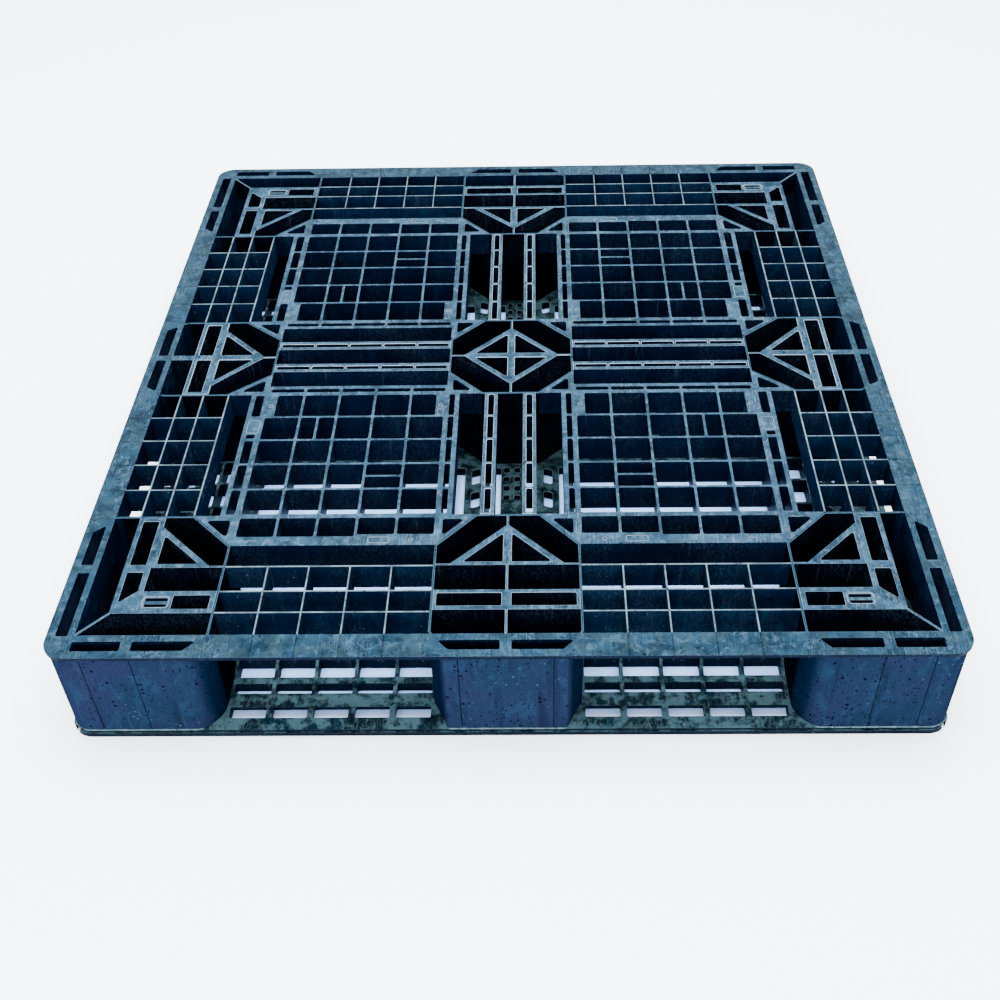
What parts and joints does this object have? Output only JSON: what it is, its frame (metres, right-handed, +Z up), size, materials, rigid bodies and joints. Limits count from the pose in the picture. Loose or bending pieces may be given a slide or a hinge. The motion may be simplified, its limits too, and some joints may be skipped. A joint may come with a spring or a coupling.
{
  "type": "plastic pallet",
  "caption": "Four-way entry plastic pallet: open grid deck with a slotted rim, hollow octagonal blocks and a ring-and-cross lower deck.",
  "frame": {"origin": "on the floor under the middle of the pallet", "axes": "+Z up, X across the 1100 mm front with +X to the right, Y along the 1200 mm side with the front at -Y"},
  "size_m": [1.1, 1.2, 0.15],
  "materials": {
    "deck_plastic": "scuffed dark blue-black recycled polyolefin, worn pale on the rib edges",
    "block_plastic": "dark blue recycled polyolefin with specks, scratches and drip marks",
    "base_plastic": "dark blue-green recycled polyolefin, dusty and scraped on the fork ramps"
  },
  "bodies": {
    "root": {"centre_block": "block_plastic", "centre_head": "deck_plastic", "centre_pad": "base_plastic", "corner_block_back_left": "block_plastic", "corner_block_back_right": "block_plastic", "corner_block_front_left": "block_plastic", "corner_block_front_right": "block_plastic", "corner_head_back_left": "deck_plastic", "corner_head_back_right": "deck_plastic", "corner_head_front_left": "deck_plastic", "corner_head_front_right": "deck_plastic", "corner_pad_back_left": "base_plastic", "corner_pad_back_right": "base_plastic", "corner_pad_front_left": "base_plastic", "corner_pad_front_right": "base_plastic", "cross_beams_back": "deck_plastic", "cross_beams_front": "deck_plastic", "cross_beams_left": "deck_plastic", "cross_beams_right": "deck_plastic", "cross_board_back": "base_plastic", "cross_board_front": "base_plastic", "cross_board_left": "base_plastic", "cross_board_right": "base_plastic", "deck_panel_back_left": "deck_plastic", "deck_panel_back_right": "deck_plastic", "deck_panel_front_left": "deck_plastic", "deck_panel_front_right": "deck_plastic", "long_bottom_board_back_left": "base_plastic", "long_bottom_board_back_right": "base_plastic", "long_bottom_board_front_left": "base_plastic", "long_bottom_board_front_right": "base_plastic", "long_edge_grid_back_left": "deck_plastic", "long_edge_grid_back_right": "deck_plastic", "long_edge_grid_front_left": "deck_plastic", "long_edge_grid_front_right": "deck_plastic", "middle_block_back": "block_plastic", "middle_block_front": "block_plastic", "middle_block_left": "block_plastic", "middle_block_right": "block_plastic", "middle_head_back": "deck_plastic", "middle_head_front": "deck_plastic", "middle_head_left": "deck_plastic", "middle_head_right": "deck_plastic", "middle_pad_back": "base_plastic", "middle_pad_front": "base_plastic", "middle_pad_left": "base_plastic", "middle_pad_right": "base_plastic", "rim_back": "deck_plastic", "rim_front": "deck_plastic", "rim_left": "deck_plastic", "rim_right": "deck_plastic", "short_bottom_board_back_left": "base_plastic", "short_bottom_board_back_right": "base_plastic", "short_bottom_board_front_left": "base_plastic", "short_bottom_board_front_right": "base_plastic", "short_edge_grid_back_left": "deck_plastic", "short_edge_grid_back_right": "deck_plastic", "short_edge_grid_front_left": "deck_plastic", "short_edge_grid_front_right": "deck_plastic"}
  },
  "joints": []
}
